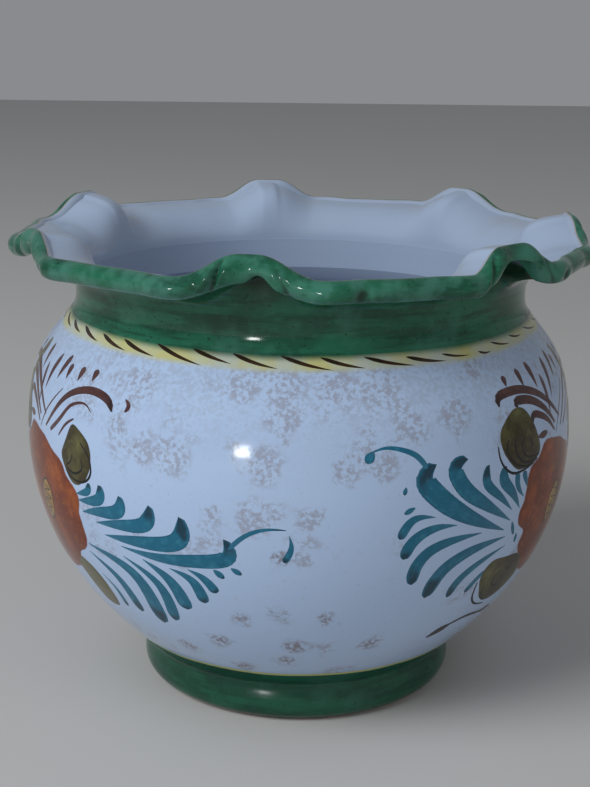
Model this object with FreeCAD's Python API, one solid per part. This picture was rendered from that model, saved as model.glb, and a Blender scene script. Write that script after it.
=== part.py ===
import FreeCAD, Part
import math
import os

# A hand-made glazed earthenware flower pot. A foot ring and a floor disc carry a full round belly,
# a low collar and a flared lip, whose rolled edge is pinched up in seven places by a fingertip.
# The members are luted clay to clay, so each one stands face to face on the one below it.
# The frame has its origin on the table under the middle of the pot, +Z up, and -Y to the viewer.

# Clay
wall_thickness = 6.5

# Foot ring: the turned ring that the pot stands on, a flat tread under a round roll
foot_height = 11.0
foot_tread_outer_radius = 60.5
foot_tread_inner_radius = 54.5
foot_roll_radius = 70.2
foot_neck_radius = 69.0
foot_recess_radius = 58.5
foot_flank_height_share = 0.2
foot_flank_radius_share = 0.66
foot_roll_height_share = 0.62
foot_roll_steps = 4

# Floor disc: the bottom slab, whose edge is the waist of the foot
floor_thickness = 9.0
waist_radius = 72.0

# Belly: the large round wall
belly_height = 148.0
belly_radius = 120.0
shoulder_radius = 100.1
corner_cove = 7.0
fullest_height_share = 0.618
lower_height_shares = (0.048, 0.162, 0.333, 0.523)
lower_radius_shares = (0.150, 0.473, 0.796, 0.973)
upper_height_shares = (0.713, 0.884, 0.966)
upper_radius_shares = (0.975, 0.653, 0.196)
belly_outside_steps = 16
belly_inside_steps = 9
belly_sections = 40

# Collar: the low neck, drawn in above a soft throwing ridge
collar_height = 14.0
throat_radius = 98.9
ridge_height = 0.9
ridge_place_share = 0.6

# Lip: the flared wall between the collar and the rolled edge
lip_rise = 13.8
lip_reach = 17.8
lip_edge_thickness = 6.2
lip_outside_reach_share = 0.31
lip_outside_rise_share = 0.76
lip_inside_reach_share = 0.27
lip_inside_rise_share = 0.64
lip_steps = 4

# Rolled edge: the turned-over roll of clay along the lip
roll_reach = 8.1
roll_steps = 9

# Finger pinches: where the lip and its roll are pushed up and hollowed from below
pinch_count = 7
first_pinch_angle = -9.3
pinch_stray_shares = (0.0, 0.015, -0.06, -0.145, -0.155, -0.12, -0.12)
pinch_rise_shares = (0.94, 0.92, 1.07, 1.07, 1.17, 1.23, 0.66)
pinch_half_angle = 12.6
pinch_depth = 2.5
pinch_rise = 7.0
pinch_swell = 1.6
pinch_hollow = 3.4
pinch_shoulder = 3.0
shoulder_place_share = 1.15
shoulder_half_width_share = 0.5
pinch_section_shares = (-1.15, -0.8, -0.5, -0.25, 0.0, 0.25, 0.5, 0.8, 1.15)
free_section_shares = (0.33, 0.67)

floor_top = foot_height + floor_thickness
belly_top = floor_top + belly_height
collar_top = belly_top + collar_height
throat_bore_radius = throat_radius - wall_thickness


def spot(radius, height):
    """A point of an outline, in the upright half-plane through the pot's axis."""
    return FreeCAD.Vector(radius, 0, height)


def straight(start, end):
    """A straight edge."""
    return Part.LineSegment(start, end).toShape()


def chain(points):
    """Straight edges from point to point."""
    return [straight(first, second) for first, second in zip(points, points[1:])]


def points_along(curve, steps):
    """The ends of a curve and the points that part it into even steps."""
    span = curve.LastParameter - curve.FirstParameter
    return [curve.value(curve.FirstParameter + span * step / steps) for step in range(steps + 1)]


def turned(edges):
    """The solid that a closed outline makes once round the wheel."""
    face = Part.Face(Part.Wire(edges))
    return face.revolve(FreeCAD.Vector(0, 0, 0), FreeCAD.Vector(0, 0, 1), 360)


def foot_ring():
    """The turned ring: a flat tread, a round roll outside and a sloping recess inside."""
    roll_growth = foot_roll_radius - foot_tread_outer_radius
    tread = spot(foot_tread_outer_radius, 0)
    flank_radius = foot_tread_outer_radius + roll_growth * foot_flank_radius_share
    flank = spot(flank_radius, foot_height * foot_flank_height_share)
    roll = spot(foot_roll_radius, foot_height * foot_roll_height_share)
    neck = spot(foot_neck_radius, foot_height)
    recess = spot(foot_recess_radius, foot_height)
    heel = spot(foot_tread_inner_radius, 0)
    roll_points = points_along(Part.Arc(flank, roll, neck), foot_roll_steps)
    return turned(chain([tread] + roll_points + [recess, heel, tread]))


def floor_disc():
    """The bottom slab, its edge flaring from the foot ring to the belly."""
    low = spot(foot_neck_radius, foot_height)
    high = spot(waist_radius, floor_top)
    centre_top = spot(0, floor_top)
    centre_bottom = spot(0, foot_height)
    return turned([
        straight(low, high),
        straight(high, centre_top),
        straight(centre_top, centre_bottom),
        straight(centre_bottom, low),
    ])


def belly_outline():
    """The belly's outside, from the waist over the fullest ring to the shoulder."""
    points = [spot(waist_radius, floor_top)]
    for height_share, radius_share in zip(lower_height_shares, lower_radius_shares):
        radius = waist_radius + (belly_radius - waist_radius) * radius_share
        points.append(spot(radius, floor_top + belly_height * height_share))
    points.append(spot(belly_radius, floor_top + belly_height * fullest_height_share))
    for height_share, radius_share in zip(upper_height_shares, upper_radius_shares):
        radius = shoulder_radius + (belly_radius - shoulder_radius) * radius_share
        points.append(spot(radius, floor_top + belly_height * height_share))
    points.append(spot(shoulder_radius, belly_top))
    curve = Part.BSplineCurve()
    curve.interpolate(points)
    return curve


def belly_inside(outline):
    """The belly's inside: its outside moved in by the wall, from a cove on the floor up to the throat."""
    points = []
    for step in range(belly_inside_steps + 1):
        share = step / belly_inside_steps
        parameter = outline.FirstParameter + (outline.LastParameter - outline.FirstParameter) * share
        along = outline.tangent(parameter)[0]
        outward = FreeCAD.Vector(along.z, 0, -along.x)
        points.append(outline.value(parameter) - outward * wall_thickness)
    points[0] = spot(outline.value(outline.FirstParameter).x - wall_thickness - corner_cove, floor_top)
    points[-1] = spot(throat_bore_radius, belly_top)
    return points


def belly_wall():
    """The full round wall, as a loft through its upright section all round the wheel."""
    outline = belly_outline()
    outside = points_along(outline, belly_outside_steps)
    inside = belly_inside(outline)
    section = Part.Wire(chain(outside + inside[::-1] + outside[:1]))
    sections = []
    for number in range(belly_sections):
        turn = section.copy()
        turn.rotate(FreeCAD.Vector(0, 0, 0), FreeCAD.Vector(0, 0, 1), 360 * number / belly_sections)
        sections.append(turn)
    return Part.makeLoft(sections, True, True, True)


def collar():
    """The low neck between shoulder and lip, with one ridge left by the throwing."""
    ridge_top = belly_top + collar_height * ridge_place_share
    low = spot(shoulder_radius, belly_top)
    cove = spot(throat_radius, (belly_top + ridge_top) / 2)
    ridge = spot(throat_radius + ridge_height, ridge_top)
    high = spot(throat_radius, collar_top)
    inner_high = spot(throat_bore_radius, collar_top)
    inner_low = spot(throat_bore_radius, belly_top)
    return turned([
        straight(low, cove),
        straight(cove, ridge),
        straight(ridge, high),
        straight(high, inner_high),
        straight(inner_high, inner_low),
        straight(inner_low, low),
    ])


def pinch_angles():
    """The middles of the pinches, each a little off its even place as the hand left it."""
    period = 360 / pinch_count
    strays = pinch_stray_shares
    return [first_pinch_angle + period * (turn + strays[turn % len(strays)]) for turn in range(pinch_count)]


def section_angles():
    """Where the lip's sections stand: close together over a pinch, further apart between two."""
    middles = pinch_angles()
    following = middles[1:] + [middles[0] + 360]
    angles = []
    for middle, next_middle in zip(middles, following):
        free = next_middle - middle - 2 * pinch_half_angle
        for share in pinch_section_shares:
            angles.append(middle + pinch_half_angle * share)
        for share in free_section_shares:
            angles.append(middle + pinch_half_angle + free * share)
    return angles


def bump(distance, half_width):
    """A smooth bump of height one, gone at its half width on either side."""
    if abs(distance) >= half_width:
        return 0
    return math.cos(math.pi / 2 * distance / half_width) ** 2


def pinch_state(angle):
    """How far a pinch acts at this angle, how high it lifts the lip, and how far its shoulder swells."""
    pinch = 0
    lift = 0
    beside = 0
    for number, middle in enumerate(pinch_angles()):
        offset = (angle - middle + 180) % 360 - 180
        here = bump(offset, pinch_half_angle)
        pinch += here
        lift += here * pinch_rise * pinch_rise_shares[number % len(pinch_rise_shares)]
        from_shoulder = abs(offset) - pinch_half_angle * shoulder_place_share
        beside += bump(from_shoulder, pinch_half_angle * shoulder_half_width_share)
    return pinch, lift, beside


def around(angle, radius, height):
    """A point on the pot at an angle from the front, counted towards +X."""
    turn = math.radians(angle)
    return FreeCAD.Vector(radius * math.sin(turn), -radius * math.cos(turn), height)


def roll_seat(angle):
    """Where the roll sits on the lip's edge at this angle: the seat's radius, foot and head."""
    pinch, lift, beside = pinch_state(angle)
    radius = throat_radius + lip_reach - pinch_depth * pinch + pinch_shoulder * beside
    half = (lip_edge_thickness + pinch_swell * pinch) / 2
    middle = collar_top + lip_rise + lift
    return radius, middle - half, middle + half


def lip_bend(angle, start_radius, edge_height, reach_share, rise_share):
    """The bend of one side of the lip at this angle, between its start on the collar and its edge."""
    reach = roll_seat(angle)[0] - start_radius
    hollow = pinch_hollow * pinch_state(angle)[0]
    radius = start_radius + reach * reach_share - hollow
    return around(angle, radius, collar_top + (edge_height - collar_top) * rise_share)


def flared_lip():
    """The lip, lofted through upright sections: outside, edge, inside and foot."""
    sections = []
    for angle in section_angles():
        radius, low, high = roll_seat(angle)
        outer_start = around(angle, throat_radius, collar_top)
        outer_bend = lip_bend(angle, throat_radius, low, lip_outside_reach_share, lip_outside_rise_share)
        outer_end = around(angle, radius, low)
        inner_end = around(angle, radius, high)
        inner_bend = lip_bend(angle, throat_bore_radius, high, lip_inside_reach_share, lip_inside_rise_share)
        inner_start = around(angle, throat_bore_radius, collar_top)
        outside = points_along(Part.Arc(outer_start, outer_bend, outer_end), lip_steps)
        inside = points_along(Part.Arc(inner_end, inner_bend, inner_start), lip_steps)
        sections.append(Part.Wire(chain(outside + inside + outside[:1])))
    return Part.makeLoft(sections, True, True, True)


def rolled_edge():
    """The roll, lofted through rounded sections that share their seats with the lip's edge."""
    sections = []
    for angle in section_angles():
        radius, low, high = roll_seat(angle)
        head = around(angle, radius, high)
        foot = around(angle, radius, low)
        nose = around(angle, radius + roll_reach, (low + high) / 2)
        roll_points = points_along(Part.Arc(head, nose, foot), roll_steps)
        sections.append(Part.Wire(chain(roll_points + roll_points[:1])))
    return Part.makeLoft(sections, True, True, True)


def write(name, shape):
    """Write one member as parts/NAME.step."""
    shape.exportStep("parts/" + name + ".step")


os.makedirs("parts", exist_ok=True)
write("foot_ring", foot_ring())
write("floor_disc", floor_disc())
write("belly_wall", belly_wall())
write("collar", collar())
write("flared_lip", flared_lip())
write("rolled_edge", rolled_edge())
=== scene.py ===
import math

import bpy
import numpy as np
from mathutils import Matrix, Vector


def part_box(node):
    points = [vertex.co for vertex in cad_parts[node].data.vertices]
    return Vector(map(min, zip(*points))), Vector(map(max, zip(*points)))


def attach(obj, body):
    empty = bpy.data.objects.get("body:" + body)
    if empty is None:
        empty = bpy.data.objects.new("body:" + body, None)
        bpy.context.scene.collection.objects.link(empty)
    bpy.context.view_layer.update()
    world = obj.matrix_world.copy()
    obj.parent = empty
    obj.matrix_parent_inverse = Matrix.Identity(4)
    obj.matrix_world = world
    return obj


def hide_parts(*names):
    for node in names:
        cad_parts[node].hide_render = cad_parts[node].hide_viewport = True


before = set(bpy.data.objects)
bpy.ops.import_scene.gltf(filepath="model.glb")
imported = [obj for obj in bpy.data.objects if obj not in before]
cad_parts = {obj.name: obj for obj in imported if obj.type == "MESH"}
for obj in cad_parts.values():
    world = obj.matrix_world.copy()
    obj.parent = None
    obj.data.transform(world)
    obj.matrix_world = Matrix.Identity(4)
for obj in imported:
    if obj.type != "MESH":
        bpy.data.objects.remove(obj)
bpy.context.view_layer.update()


# The camera stands where the photograph was taken from, a little above the rim and close to the middle. Its
# place and turn put the pot's rings where the photograph has them: tilted about its own axis, raised to look
# along +Y and a little down, then swung about +Z.
MM = 0.001
camera_distance = 0.6356
camera_height = 0.2951
camera_dip = 0.259104
camera_tilt = 0.0110513
camera_swing = -0.0029342
camera_lens = 67.09
tilted = Matrix.Rotation(camera_tilt, 3, "Z")
raised = Matrix.Rotation(math.pi / 2 - camera_dip, 3, "X")
swung = Matrix.Rotation(-camera_swing, 3, "Z")
camera_data = bpy.data.cameras.new("camera")
camera_data.lens = camera_lens
camera = bpy.data.objects.new("camera", camera_data)
camera.location = (0, -camera_distance, camera_height)
camera.rotation_euler = (swung @ raised @ tilted).to_euler()
bpy.context.scene.collection.objects.link(camera)
bpy.context.scene.camera = camera


# A pale table runs on behind the pot as far as the camera sees. It only catches the pot's shadow.
# It is no part of the pot.
table_half = 4.0
table_colour = (0.54, 0.53, 0.52, 1)


def new_material(name):
    """A new material with its cleared node tree and its output node."""
    material = bpy.data.materials.new(name)
    material.use_nodes = True
    tree = material.node_tree
    tree.nodes.clear()
    return material, tree, tree.nodes.new("ShaderNodeOutputMaterial")


def put(tree, kind, settings=None, **inputs):
    """A new node with its settings and inputs: a socket is linked, a constant is set. In an input's name _
    stands for a space, and i with a number means the input of that number."""
    node = tree.nodes.new(kind)
    for name, value in (settings or {}).items():
        setattr(node, name, value)
    for name, value in inputs.items():
        key = int(name[1:]) if name[0] == "i" and name[1:].isdigit() else name.replace("_", " ")
        if isinstance(value, bpy.types.NodeSocket):
            tree.links.new(value, node.inputs[key])
        else:
            node.inputs[key].default_value = value
    return node


table_mesh = bpy.data.meshes.new("table")
corner_signs = [(-1, -1), (1, -1), (1, 1), (-1, 1)]
table_mesh.from_pydata([(table_half * x, table_half * y, 0) for x, y in corner_signs], [], [(0, 1, 2, 3)])
table = bpy.data.objects.new("table", table_mesh)
bpy.context.scene.collection.objects.link(table)
table_material, tree, output = new_material("table_top")
matt = {"Base_Color": table_colour, "Roughness": 0.75, "Specular_IOR_Level": 0.2}
surface = put(tree, "ShaderNodeBsdfPrincipled", **matt)
tree.links.new(surface.outputs[0], output.inputs[0])
table_mesh.materials.append(table_material)


# Soft studio light: a large key high on the left, a weak fill on the right, and one small window-like panel
# low on the left that gives the glaze its highlights. The room round them is one even grey.
room_level = 0.27
room_colour = (0.93, 0.96, 1.0, 1)
pot_middle = (0, 0, 0.12)


def lamp(name, place, width, height, power, colour, in_gloss=True):
    """A soft rectangular panel at place, facing the pot. in_gloss tells whether the glaze mirrors it."""
    data = bpy.data.lights.new(name, "AREA")
    data.shape = "RECTANGLE"
    data.size = width
    data.size_y = height
    data.energy = power
    data.color = colour
    light = bpy.data.objects.new(name, data)
    light.location = place
    light.rotation_euler = (Vector(pot_middle) - Vector(place)).to_track_quat("-Z", "Y").to_euler()
    light.visible_glossy = in_gloss
    bpy.context.scene.collection.objects.link(light)


lamp("key", (-1.5, -1.2, 1.5), 1.3, 1.1, 42, (0.95, 0.98, 1.0), False)
lamp("window", (-0.76, -1.87, 0.18), 0.19, 0.21, 4.2, (0.97, 0.99, 1.0))
lamp("fill", (1.6, -1.2, 0.8), 1.2, 1.2, 5, (1.0, 0.98, 0.96), False)

world = bpy.data.worlds.new("room")
bpy.context.scene.world = world
world.use_nodes = True
tree = world.node_tree
tree.nodes.clear()
shine = put(tree, "ShaderNodeBackground", Color=room_colour, Strength=room_level)
output = tree.nodes.new("ShaderNodeOutputWorld")
tree.links.new(shine.outputs[0], output.inputs[0])
bpy.context.scene.view_settings.view_transform = "Standard"


# The belly is thrown red earthenware under a bluish-white tin glaze that was dabbed with a grey sponge.
# Its outside and inside are one turned surface. Heights come from the frame, radii are the pot's own.
belly_low, belly_top = (corner[2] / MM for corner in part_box("belly_wall"))
waist_radius = 72.0
belly_radius = 120.0
shoulder_radius = 100.1
wall_thickness = 6.5
throat_radius = 98.9
throat_bore = throat_radius - wall_thickness
corner_cove = 7.0
throat_easing = 3.5
glaze_inset = 0.3
round_steps = 384
belly_rows = 150
belly_knots = [
    (waist_radius, 0, 0), (waist_radius, 0.150, 0.048), (waist_radius, 0.473, 0.162),
    (waist_radius, 0.796, 0.333), (waist_radius, 0.973, 0.523), (belly_radius, 0, 0.618),
    (shoulder_radius, 0.975, 0.713), (shoulder_radius, 0.653, 0.884), (shoulder_radius, 0.196, 0.966),
    (shoulder_radius, 0, 1),
]
sharp_angle = math.radians(40)
yellow_line_height = 27.1
yellow_line_half = 0.75
band_top = 167.0
band_low = 163.1
white = (0.368, 0.478, 0.668, 1)
sponge = (0.225, 0.205, 0.235, 1)
# The white inside the pot is greyer than the outside's: painted shade, since the inside lies in shade.
shaded_white = (0.322, 0.390, 0.510, 1)
rust_spot = (0.150, 0.100, 0.090, 1)
smudges = [
    (-29, 39, 7), (-19, 48, 7), (0, 48, 7.5), (-2, 39, 7), (-14, 32, 7), (17, 48, 7), (-12, 63, 6),
    (-3, 66, 7), (6, 64, 6), (-3, 92, 4), (95, 45, 7), (150, 40, 7), (205, 52, 6), (262, 42, 7),
]
dabs = [
    (-11, 157, 12), (-3, 158, 14), (7, 158, 12), (15, 157, 14), (39, 161, 10), (-34, 153, 13), (-6, 130, 10),
    (-24, 130, 11), (-30, 131, 9), (-3, 146, 9), (-15, 111, 5), (2, 110, 6), (9, 128, 7), (16, 128, 8),
    (21, 143, 11), (31, 145, 10), (1, 93, 5), (105, 150, 16), (128, 120, 13), (150, 155, 18), (208, 154, 16),
    (232, 125, 14), (262, 150, 18),
]
yellow = (0.470, 0.450, 0.165, 1)
green = (0.012, 0.112, 0.060, 1)
green_dark = (0.004, 0.032, 0.020, 1)
green_thin = (0.050, 0.182, 0.132, 1)
glaze_roughness = 0.10
glaze_ior = 1.41
glaze_relief = 0.6 * MM


def spline_through(knots, count):
    """A natural cubic spline through knots, spaced by chord length. Its second derivatives M solve
    h[i-1] M[i-1] + 2 (h[i-1] + h[i]) M[i] + h[i] M[i+1] = 6 (slope[i] - slope[i-1]), zero at both ends."""
    knots = np.asarray(knots, float)
    place = np.concatenate([[0], np.cumsum(np.linalg.norm(np.diff(knots, axis=0), axis=1))])
    gap = np.diff(place)[:, None]
    slope = np.diff(knots, axis=0) / gap
    last = len(knots) - 1
    system = np.eye(last + 1)
    inner = np.arange(1, last)
    system[inner, inner - 1] = gap[:-1, 0]
    system[inner, inner] = 2 * (gap[:-1, 0] + gap[1:, 0])
    system[inner, inner + 1] = gap[1:, 0]
    sides = np.zeros_like(knots)
    sides[1:-1] = 6 * np.diff(slope, axis=0)
    bend = np.linalg.solve(system, sides)
    at = np.linspace(0, place[-1], count)
    index = np.clip(np.searchsorted(place, at, "right") - 1, 0, last - 1)
    left = (at - place[index])[:, None]
    step = gap[index]
    right = step - left
    curve = (bend[index] * right ** 3 + bend[index + 1] * left ** 3) / (6 * step)
    curve += (knots[index] / step - bend[index] * step / 6) * right
    return curve + (knots[index + 1] / step - bend[index + 1] * step / 6) * left


def normals_of(profile):
    """The outward normals of a profile of (radius, height) that runs upwards: its tangents, quarter turned."""
    tangent = np.gradient(profile, axis=0)
    tangent /= np.linalg.norm(tangent, axis=1)[:, None]
    return np.stack([tangent[:, 1], -tangent[:, 0]], 1)


def hand_wave(turn, height):
    """How far the thrown wall strays from true, in mm: four slow sines of the turn and a faint spiral ridge,
    less a small inset that keeps the wall inside the solid's."""
    stray = 0.16 * np.sin(2 * turn + 0.7) + 0.10 * np.sin(3 * turn + height / 31 + 2.1)
    stray += 0.05 * np.sin(5 * turn - height / 17 + 4.0) + 0.04 * np.sin(7 * turn + height / 11)
    return stray + 0.012 * np.sin(turn + 2 * np.pi * height / 7.3) - glaze_inset


def placed(turn, radius, height):
    """Points in metres from turns (radians from the front towards +X), radii and heights in mm."""
    turn, radius, height = np.broadcast_arrays(turn, radius, height)
    return np.stack([radius * np.sin(turn), -radius * np.cos(turn), height], -1) * MM


def add_piece(name, points, faces, material, uv=None):
    """A smooth mesh object of these points and faces, with a UV value per point where given."""
    mesh = bpy.data.meshes.new(name)
    mesh.from_pydata(points.reshape(-1, 3).tolist(), [], faces)
    mesh.polygons.foreach_set("use_smooth", np.ones(len(mesh.polygons), bool))
    if uv is not None:
        corners = np.empty(len(mesh.loops), int)
        mesh.loops.foreach_get("vertex_index", corners)
        layer = mesh.uv_layers.new(name="brush")
        layer.data.foreach_set("uv", uv.reshape(-1, 2)[corners].astype(np.float32).ravel())
    mesh.materials.append(material)
    mesh.update()
    mesh.set_sharp_from_angle(angle=sharp_angle)
    piece = bpy.data.objects.new(name, mesh)
    bpy.context.scene.collection.objects.link(piece)
    return piece


def ring_faces(rows, columns):
    """Quads of a grid whose rows and columns both close: each point with its neighbours right and above."""
    row, column = np.meshgrid(np.arange(rows), np.arange(columns), indexing="ij")
    next_row = (row + 1) % rows
    next_column = (column + 1) % columns
    corners = [(row, column), (next_row, column), (next_row, next_column), (row, next_column)]
    return np.stack([down * columns + along for down, along in corners], -1).reshape(-1, 4).tolist()


def uv_grid(u, v):
    """The u and v values of a grid of points, side by side."""
    return np.stack(np.broadcast_arrays(u, v), -1)


def turned_piece(name, outline, sections, material, wave=True, inside_from=None, to_axis=False):
    """A closed outline of (radius, height), carried once round the pot in sections steps. Its UV has the turn
    as u, and v is 0 on the outside and 1 on the points from inside_from on. With to_axis the outline starts
    and ends beside the wheel's axis, and a tiny cap closes it there below and above."""
    turn = np.linspace(0, 2 * np.pi, sections, endpoint=False)[:, None]
    radius = outline[:, 0][None]
    height = outline[:, 1][None]
    stray = hand_wave(turn, height) if wave else 0
    points = placed(turn, radius + stray, height)
    inner = np.arange(len(outline)) >= (len(outline) if inside_from is None else inside_from)
    uv = uv_grid(turn / (2 * np.pi), inner[None].astype(float))
    faces = ring_faces(sections, len(outline))
    if to_axis:
        del faces[len(outline) - 1::len(outline)]
        lowest = [section * len(outline) for section in range(sections)]
        faces += [lowest[::-1], [corner + len(outline) - 1 for corner in lowest]]
    return add_piece(name, points, faces, material, uv)


def belly_profile(count):
    """The belly's outside from waist to shoulder, as (radius, height) in mm, evenly spaced along its length: a
    spline whose knots are a radius, a share of the swell from it to the belly's, and a share of the height."""
    tall = belly_top - belly_low
    return spline_through([
        (radius + (belly_radius - radius) * swell, belly_low + tall * share)
        for radius, swell, share in belly_knots
    ], count)


outside_line = belly_profile(belly_rows)


def value_noise(tree, scale, detail=2.0, rough=0.5, vector=None, stretch=None):
    """Noise on Object coordinates, or on vector, in cells of 1/scale metres, squeezed by stretch first."""
    if vector is None:
        vector = put(tree, "ShaderNodeTexCoord").outputs["Object"]
    if stretch is not None:
        vector = put(tree, "ShaderNodeMapping", Vector=vector, Scale=stretch).outputs[0]
    grain = {"Vector": vector, "Scale": scale, "Detail": detail, "Roughness": rough}
    return put(tree, "ShaderNodeTexNoise", **grain).outputs[0]


def ramp(tree, value, low, high, top=1.0):
    """0 below low, top above high, and smooth between them."""
    smooth = {"interpolation_type": "SMOOTHSTEP"}
    node = put(tree, "ShaderNodeMapRange", smooth, Value=value, From_Min=low, From_Max=high, To_Max=top)
    return node.outputs[0]


def maths(tree, operation, first, second=0.0):
    """The result of one arithmetic operation on two values."""
    return put(tree, "ShaderNodeMath", {"operation": operation}, i0=first, i1=second).outputs[0]


def times(tree, first, second):
    """The product of two values."""
    return maths(tree, "MULTIPLY", first, second)


def frayed(tree, value, noise, spread):
    """value, shifted up or down by up to half of spread, as a noise of 0 to 1 says."""
    return maths(tree, "ADD", value, times(tree, maths(tree, "SUBTRACT", noise, 0.5), spread))


def mixed(tree, share, first, second):
    """The colour first where share is 0, second where it is 1. The node's sockets 6 and 7 are its colours."""
    return put(tree, "ShaderNodeMix", {"data_type": "RGBA"}, i0=share, i6=first, i7=second).outputs[2]


def height_of(tree):
    """The height of the shaded point in metres."""
    place = put(tree, "ShaderNodeTexCoord").outputs["Object"]
    return put(tree, "ShaderNodeSeparateXYZ", Vector=place).outputs[2]


def green_colour(tree):
    """Copper green: brushed round in fine streaks, darker where it pooled, yellower where it ran thin, and
    peppered with small dark specks."""
    streak = value_noise(tree, 60, 4.0, 0.65, stretch=(0.4, 0.4, 3.0))
    pool = value_noise(tree, 42, 3.0, 0.55)
    thin = value_noise(tree, 38, 3.0, 0.6)
    fine = value_noise(tree, 380, 3.0, 0.6)
    speck = value_noise(tree, 480, 2.0)
    colour = mixed(tree, ramp(tree, streak, 0.57, 0.42, 0.62), green, green_dark)
    colour = mixed(tree, ramp(tree, thin, 0.52, 0.70, 0.45), colour, green_thin)
    colour = mixed(tree, ramp(tree, pool, 0.49, 0.34, 0.50), colour, green_dark)
    colour = mixed(tree, ramp(tree, fine, 0.50, 0.70, 0.15), colour, green_thin)
    return mixed(tree, ramp(tree, speck, 0.64, 0.72, 0.75), colour, green_dark)


def white_colour(tree):
    """Tin white dabbed with a sponge: fine grey specks crowded in cloudy patches, most of all near the
    shoulder, and a few rusty smudges low on the belly where iron bled through."""
    place = put(tree, "ShaderNodeTexCoord").outputs["Object"]
    cloud = value_noise(tree, 34, 3.0, 0.55)
    fray = frayed(tree, 0.0, value_noise(tree, 110, 3.0, 0.6), 0.016)
    lace = value_noise(tree, 560, 3.0, 0.62)
    coarse = value_noise(tree, 190, 2.0, 0.5)
    speck = value_noise(tree, 620, 2.0, 0.6)
    height = height_of(tree)
    reach = maths(tree, "ADD", ramp(tree, cloud, 0.56, 0.68), ramp(tree, height, 0.125, 0.163, 0.45))

    def near(spot, share):
        """1 at the middle of a spot of (degrees, mm up, mm wide) on the belly, 0 beyond its ragged edge."""
        degrees, up, wide = spot
        radius = np.interp(up, outside_line[:, 1], outside_line[:, 0])
        middle = tuple(float(value) for value in placed(math.radians(degrees), radius, up))
        distance = {"operation": "DISTANCE"}
        away = put(tree, "ShaderNodeVectorMath", distance, i0=place, i1=middle).outputs["Value"]
        return ramp(tree, maths(tree, "ADD", away, fray), wide * MM, wide * share * MM)

    for spot in dabs:
        reach = maths(tree, "MAXIMUM", reach, near(spot, 0.45))
    reach = maths(tree, "MINIMUM", reach, 1.0)
    holes = maths(tree, "ADD", times(tree, lace, 0.72), times(tree, coarse, 0.28))
    share = times(tree, ramp(tree, holes, 0.43, 0.57, 0.56), reach)
    share = maths(tree, "ADD", share, ramp(tree, speck, 0.62, 0.74, 0.20))
    colour = mixed(tree, share, white, sponge)
    for spot in smudges:
        mark = times(tree, near(spot, 0.1), ramp(tree, lace, 0.36, 0.58, 0.75))
        colour = mixed(tree, mark, colour, rust_spot)
    return colour


def ground_colour(tree):
    """The glaze under the brushwork: green waist, yellow line, sponged white, yellow band, green shoulder."""
    height = frayed(tree, height_of(tree), value_noise(tree, 28, 3.0), 0.0022)
    colour = white_colour(tree)
    band = ramp(tree, height, (band_low - 1.6) * MM, (band_low + 1.1) * MM, 0.92)
    thin_yellow = mixed(tree, ramp(tree, value_noise(tree, 60, 3.0), 0.35, 0.7, 0.45), yellow, white)
    colour = mixed(tree, band, colour, thin_yellow)
    off_line = maths(tree, "ABSOLUTE", maths(tree, "SUBTRACT", height, yellow_line_height * MM))
    line = ramp(tree, off_line, (yellow_line_half + 0.35) * MM, yellow_line_half * 0.6 * MM)
    colour = mixed(tree, line, colour, yellow)
    glaze = green_colour(tree)
    glaze = mixed(tree, ramp(tree, height, 0.060, 0.040), glaze, mixed(tree, 0.5, glaze, green_dark))
    line_foot = yellow_line_height - yellow_line_half
    below = ramp(tree, height, (line_foot + 0.25) * MM, (line_foot - 0.25) * MM)
    above = ramp(tree, height, (band_top - 1.6) * MM, (band_top + 1.4) * MM)
    return mixed(tree, maths(tree, "MAXIMUM", below, above), colour, glaze)


def glazed(name, colour_of, rough=glaze_roughness):
    """A material: a thick clear gloss over the colour that colour_of works out in its tree, with the slow swell
    and the pinholes of a fired glaze."""
    material, tree, output = new_material(name)
    colour = colour_of(tree)
    swell = value_noise(tree, 45, 2.0)
    pit = ramp(tree, value_noise(tree, 700, 1.0), 0.70, 0.80, 0.25)
    relief = maths(tree, "SUBTRACT", times(tree, swell, 0.7), pit)
    normal = put(tree, "ShaderNodeBump", Height=relief, Strength=0.35, Distance=glaze_relief).outputs[0]
    gloss = {"Base_Color": colour, "Roughness": rough, "IOR": glaze_ior, "Normal": normal}
    tree.links.new(put(tree, "ShaderNodeBsdfPrincipled", **gloss).outputs[0], output.inputs[0])
    return material


def brush_uv(tree):
    """The piece's own UV map: the pair, its u and its v."""
    uv = put(tree, "ShaderNodeUVMap", {"uv_map": "brush"}).outputs[0]
    part = put(tree, "ShaderNodeSeparateXYZ", Vector=uv)
    return uv, part.outputs[0], part.outputs[1]


def lined(tree, outside_colour):
    """outside_colour on the outside of a wall and, on its inside, a milky white greyed as painted shade, told
    apart by v.
    """
    inner = ramp(tree, brush_uv(tree)[2], 0.4, 0.6)
    milky = mixed(tree, times(tree, value_noise(tree, 12, 2.0), 0.5), shaded_white, white)
    return mixed(tree, inner, outside_colour, milky)


inside = (outside_line - normals_of(outside_line) * wall_thickness)[::-2]
inside[0] = (throat_bore, belly_top)
widening = np.clip(inside[:, 0] - throat_bore, 0, None)
inside[:, 0] -= widening * np.exp(-widening / throat_easing)
inside[-1] = (waist_radius - wall_thickness - corner_cove, belly_low)
belly_glaze = glazed("sponged_white", lambda tree: lined(tree, ground_colour(tree)))
belly_outline = np.concatenate([outside_line, inside])
belly = turned_piece("belly", belly_outline, round_steps, belly_glaze, inside_from=len(outside_line))
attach(belly, "root")
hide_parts("belly_wall")


# The foot is a turned ring: a round green roll over a flat tread that was wiped clean of glaze.
# The bare clay shows as a thin pinkish-brown edge all round where the pot stands.
foot_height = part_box("foot_ring")[1][2] / MM
tread_outer = 60.5
tread_inner = 54.5
foot_radius = 70.1
neck_radius = 69.85
recess_radius = 58.5
bare_clay = (0.40, 0.235, 0.18, 1)
dark_clay = (0.30, 0.17, 0.13, 1)
bare_height = 0.9


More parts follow.
